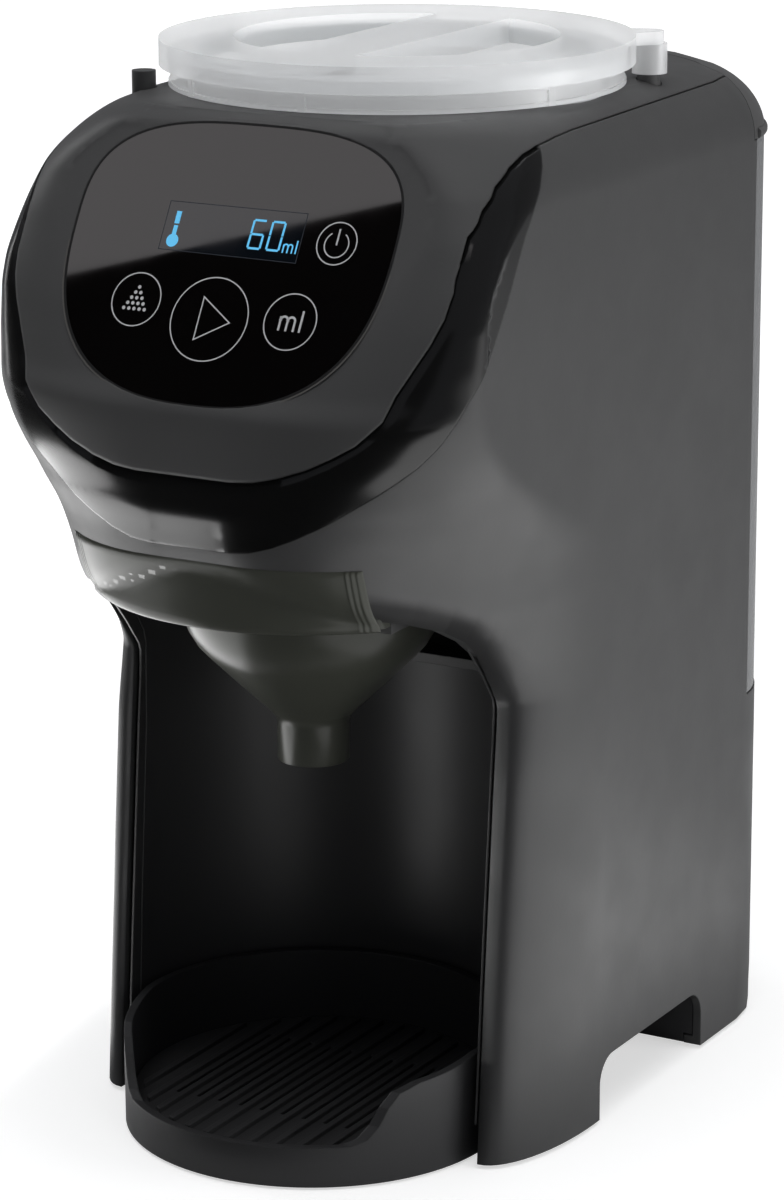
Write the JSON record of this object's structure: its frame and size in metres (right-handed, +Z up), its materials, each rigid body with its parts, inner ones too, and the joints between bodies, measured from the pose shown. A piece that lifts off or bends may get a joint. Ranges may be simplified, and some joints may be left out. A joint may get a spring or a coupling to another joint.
{
  "type": "baby formula maker",
  "caption": "Countertop baby formula maker: leaning control panel, powder container with dosing drive, rear water tank, slide-out mixing funnel and drip tray in an open bottle bay",
  "frame": {"origin": "centre of the bounding box in plan, on the table plane under the feet", "axes": "+Z up, front with control panel and bottle bay towards -Y, +X to the right of someone facing the front from inside the machine's own left-right symmetry plane (viewer's right)"},
  "size_m": [0.1514, 0.234, 0.3074],
  "materials": {
    "body_satin": "satin charcoal moulding with a fine grain",
    "fascia_satin": "satin charcoal moulding, a shade darker than the shell",
    "ring_gloss": "polished black trim",
    "panel_glass": "black glass panel with thin pale printed icons",
    "display": "dark display window that shows pale blue figures",
    "circuit_board": "green board with dark chips",
    "bay_gloss": "very dark polished lining",
    "base_satin": "dark satin moulding",
    "rubber_black": "soft black rubber",
    "screw_steel": "zinc-plated steel",
    "motor_grey": "grey painted can",
    "heater_metal": "brushed stainless can",
    "hose_clear": "milky silicone tube",
    "inner_white": "off-white food-grade moulding",
    "chassis_grey": "dark grey inner frame",
    "inlet_black": "black socket moulding",
    "brass_gear": "plain brass",
    "frosted": "frosted translucent white moulding",
    "seal_grey": "pale silicone seal",
    "tank_clear": "clear grey tinted moulding",
    "lid_satin": "satin charcoal moulding like the shell",
    "smoked": "smoked greenish translucent moulding",
    "tray_satin": "dark satin moulding"
  },
  "bodies": {
    "base_unit": {"main_housing": "body_satin", "tank_cradle": "chassis_grey", "front_fascia": "fascia_satin", "trim_ring": "ring_gloss", "control_glass": "panel_glass", "display_module": "display", "control_board": "circuit_board", "bay_liner": "bay_gloss", "base_plate": "base_satin", "rubber_feet": "rubber_black", "base_screws": "screw_steel", "water_dock": "base_satin", "dock_seal": "rubber_black", "water_pump": "motor_grey", "water_heater": "heater_metal", "inlet_hose": "hose_clear", "heater_hose": "hose_clear", "nozzle_hose": "hose_clear", "water_nozzle": "inner_white", "powder_chute": "inner_white", "chassis_plate": "chassis_grey", "gear_motor": "motor_grey", "main_board": "circuit_board", "power_inlet": "inlet_black", "lock_post": "fascia_satin", "stop_post": "fascia_satin"},
    "pinion": {"motor_pinion": "brass_gear"},
    "gear": {"drive_gear": "inner_white"},
    "container": {"powder_container": "frosted", "powder_scraper": "inner_white"},
    "wheel": {"dosing_wheel": "inner_white", "stirrer": "inner_white"},
    "lid": {"powder_lid": "frosted", "lid_seal": "seal_grey"},
    "tank": {"water_tank": "tank_clear", "tank_valve": "inner_white"},
    "tank_cap": {"tank_lid": "lid_satin"},
    "funnel_drawer": {"funnel_holder": "smoked", "mixing_funnel": "smoked"},
    "tray": {"drip_tray": "tray_satin", "tray_cover": "tray_satin"}
  },
  "joints": [
    {"name": "gear_spin", "type": "hinge", "parent": "base_unit", "child": "gear", "pos_m": [0, -0.0005, 0.19], "axis": [0, 0, 1], "continuous": true},
    {"name": "pinion_spin", "type": "hinge", "parent": "base_unit", "child": "pinion", "pos_m": [0, 0.0371, 0.19], "axis": [0, 0, 1], "continuous": true},
    {"name": "container_lift", "type": "slide", "parent": "base_unit", "child": "container", "axis": [0, 0, 1], "range_m": [0, 0.12]},
    {"name": "wheel_spin", "type": "hinge", "parent": "container", "child": "wheel", "pos_m": [0, -0.0005, 0.21], "axis": [0, 0, 1], "continuous": true},
    {"name": "lid_lift", "type": "slide", "parent": "container", "child": "lid", "axis": [0, 0, 1], "range_m": [0, 0.08]},
    {"name": "tank_lift", "type": "slide", "parent": "base_unit", "child": "tank", "axis": [0, 0, 1], "range_m": [0, 0.2]},
    {"name": "tank_lid_lift", "type": "slide", "parent": "tank", "child": "tank_cap", "axis": [0, 0, 1], "range_m": [0, 0.06]},
    {"name": "drawer_slide", "type": "slide", "parent": "base_unit", "child": "funnel_drawer", "axis": [0, -1, 0], "range_m": [0, 0.1]},
    {"name": "tray_slide", "type": "slide", "parent": "base_unit", "child": "tray", "axis": [0, -1, 0], "range_m": [0, 0.1]}
  ],
  "couplings": [
    {"joint": "pinion_spin", "follows": "gear_spin", "ratio": -4},
    {"joint": "wheel_spin", "follows": "gear_spin", "ratio": 1}
  ]
}
